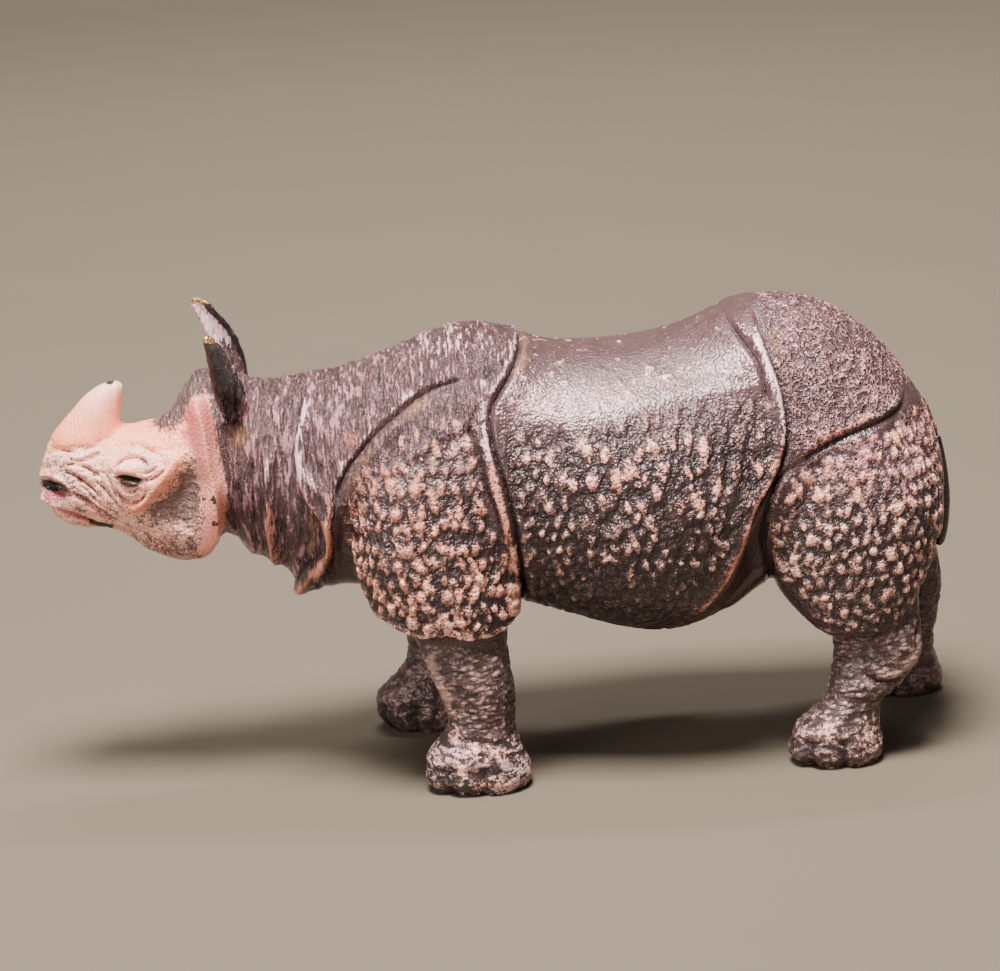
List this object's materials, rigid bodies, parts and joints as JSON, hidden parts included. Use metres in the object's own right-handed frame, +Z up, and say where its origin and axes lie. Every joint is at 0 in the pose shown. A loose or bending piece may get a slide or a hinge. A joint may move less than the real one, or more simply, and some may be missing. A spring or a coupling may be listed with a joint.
{
  "type": "rhinoceros figurine",
  "caption": "Cast and cold-painted bronze figure of a walking one-horned rhinoceros with plated, folded hide, standing on its own feet.",
  "frame": {"origin": "centre of the figure's footprint box, on the plane of its soles", "axes": "-X is the way the animal faces, -Y its left side, +Z up"},
  "size_m": [0.1526, 0.0512, 0.0794],
  "materials": {
    "painted_bronze": "dark umber cold paint over cast bronze, dry-brushed salmon pink on the raised hide"
  },
  "bodies": {
    "root": {"rhinoceros": "painted_bronze"}
  },
  "joints": []
}
